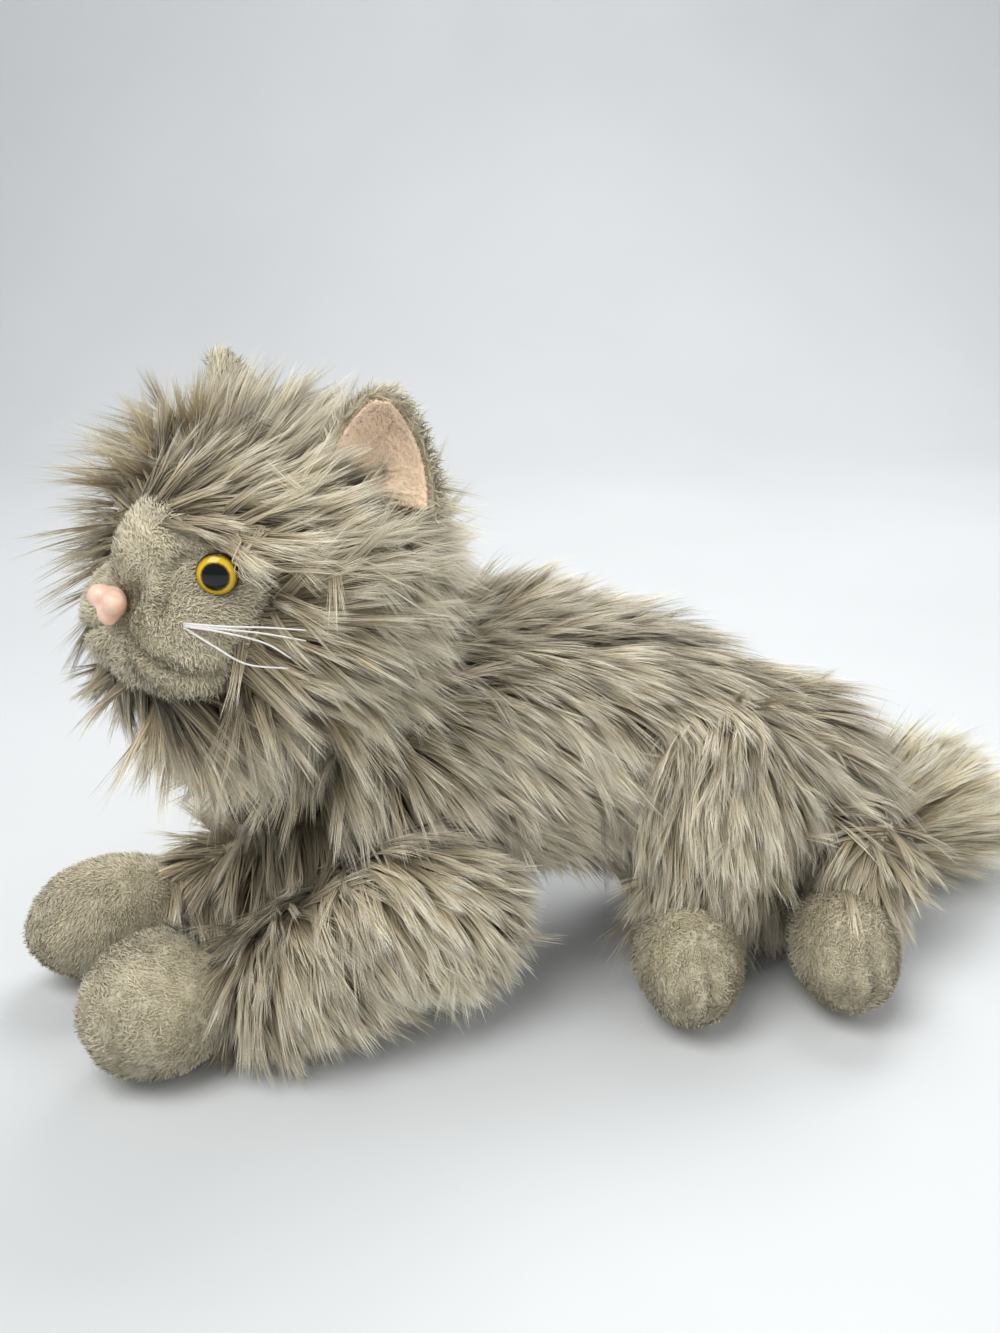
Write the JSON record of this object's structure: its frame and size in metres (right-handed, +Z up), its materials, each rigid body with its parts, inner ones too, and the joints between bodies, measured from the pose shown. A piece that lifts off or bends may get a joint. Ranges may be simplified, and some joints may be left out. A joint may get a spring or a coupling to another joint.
{
  "type": "plush cat",
  "caption": "Long-haired plush cat lying down with its head raised, with sewn legs, tail and head, clipped face and paws, plastic eyes and nose.",
  "frame": {"origin": "middle of the base rectangle, on the rest surface", "axes": "the cat looks towards -X, its left side faces -Y, +Z is up"},
  "size_m": [0.4644, 0.2306, 0.2714],
  "materials": {
    "long_pile": "long combed faux-fur pile, taupe with cream tips",
    "short_pile": "clipped plush pile",
    "ear_velour": "short velour",
    "fibre_fill": "polyester fibre fill, packed",
    "thread": "sewing thread",
    "bristle": "clear-white nylon monofilament",
    "washer_plastic": "moulded locking washer",
    "eye_lens": "clear polished acrylic",
    "eye_black": "polished black",
    "eye_yellow": "painted yellow iris",
    "nose_vinyl": "satin pink vinyl"
  },
  "bodies": {
    "torso": {"closing_stitches": "thread", "torso_fur": "long_pile", "torso_stuffing": "fibre_fill"},
    "neck": {"neck_stuffing": "fibre_fill"},
    "head": {"bridge_plush": "short_pile", "chin_plush": "short_pile", "head_fur": "long_pile", "head_stuffing": "fibre_fill", "left_cheek_plush": "short_pile", "left_eye_iris": "eye_yellow", "left_eye_lens": "eye_lens", "left_eye_pupil": "eye_black", "left_eye_washer": "washer_plastic", "left_whiskers": "bristle", "mouth_stitches": "thread", "nose": "nose_vinyl", "nose_washer": "washer_plastic", "right_cheek_plush": "short_pile", "right_eye_iris": "eye_yellow", "right_eye_lens": "eye_lens", "right_eye_pupil": "eye_black", "right_eye_washer": "washer_plastic", "right_whiskers": "bristle"},
    "left_ear": {"left_ear_back": "short_pile", "left_ear_lining": "ear_velour"},
    "right_ear": {"right_ear_back": "short_pile", "right_ear_lining": "ear_velour"},
    "left_foreleg": {"left_foreleg_fur": "long_pile", "left_foreleg_stuffing": "fibre_fill", "left_forepaw_plush": "short_pile", "left_forepaw_stitches": "thread"},
    "right_foreleg": {"right_foreleg_fur": "long_pile", "right_foreleg_stuffing": "fibre_fill", "right_forepaw_plush": "short_pile", "right_forepaw_stitches": "thread"},
    "left_hindleg": {"left_hindleg_fur": "long_pile", "left_hindleg_stuffing": "fibre_fill", "left_hindpaw_plush": "short_pile", "left_hindpaw_stitches": "thread"},
    "right_hindleg": {"right_hindleg_fur": "long_pile", "right_hindleg_stuffing": "fibre_fill", "right_hindpaw_plush": "short_pile", "right_hindpaw_stitches": "thread"},
    "tail": {"tail_fur": "long_pile", "tail_stuffing": "fibre_fill"}
  },
  "joints": [
    {"name": "neck_turn", "type": "hinge", "parent": "torso", "child": "neck", "pos_m": [-0.11518, -0.0343, 0.165], "axis": [0, 0, 1], "range_deg": [-20, 20], "stiffness_Nm_per_rad": 2},
    {"name": "neck_nod", "type": "hinge", "parent": "neck", "child": "head", "pos_m": [-0.11518, -0.0343, 0.165], "axis": [-0.6428, 0.766, 0], "range_deg": [-10, 10], "stiffness_Nm_per_rad": 2.5},
    {"name": "left_shoulder", "type": "hinge", "parent": "torso", "child": "left_foreleg", "pos_m": [-0.06496, -0.03641, 0.06], "axis": [-0.3256, 0.9455, 0], "range_deg": [-12, 22], "stiffness_Nm_per_rad": 1.5},
    {"name": "right_shoulder", "type": "hinge", "parent": "torso", "child": "right_foreleg", "pos_m": [-0.08449, 0.02032, 0.06], "axis": [-0.3256, 0.9455, 0], "range_deg": [-12, 22], "stiffness_Nm_per_rad": 1.5},
    {"name": "left_hip", "type": "hinge", "parent": "torso", "child": "left_hindleg", "pos_m": [0.06982, 0.0017, 0.092], "axis": [0, 1, 0], "range_deg": [-8, 20], "stiffness_Nm_per_rad": 1.5},
    {"name": "right_hip", "type": "hinge", "parent": "torso", "child": "right_hindleg", "pos_m": [0.13982, 0.0017, 0.056], "axis": [0, 1, 0], "range_deg": [-15, 5], "stiffness_Nm_per_rad": 1.5},
    {"name": "tail_swing", "type": "hinge", "parent": "torso", "child": "tail", "pos_m": [0.15382, 0.0697, 0.04], "axis": [0, 0, 1], "range_deg": [-12, 12], "stiffness_Nm_per_rad": 0.8},
    {"name": "left_ear_fold", "type": "hinge", "parent": "head", "child": "left_ear", "pos_m": [-0.06876, -0.0554, 0.226], "axis": [-0.9926, -0.0914, 0.0798], "range_deg": [-18, 18], "stiffness_Nm_per_rad": 0.05},
    {"name": "right_ear_fold", "type": "hinge", "parent": "head", "child": "right_ear", "pos_m": [-0.1279, 0.01508, 0.226], "axis": [0.2624, 0.9616, -0.0798], "range_deg": [-18, 18], "stiffness_Nm_per_rad": 0.05}
  ]
}
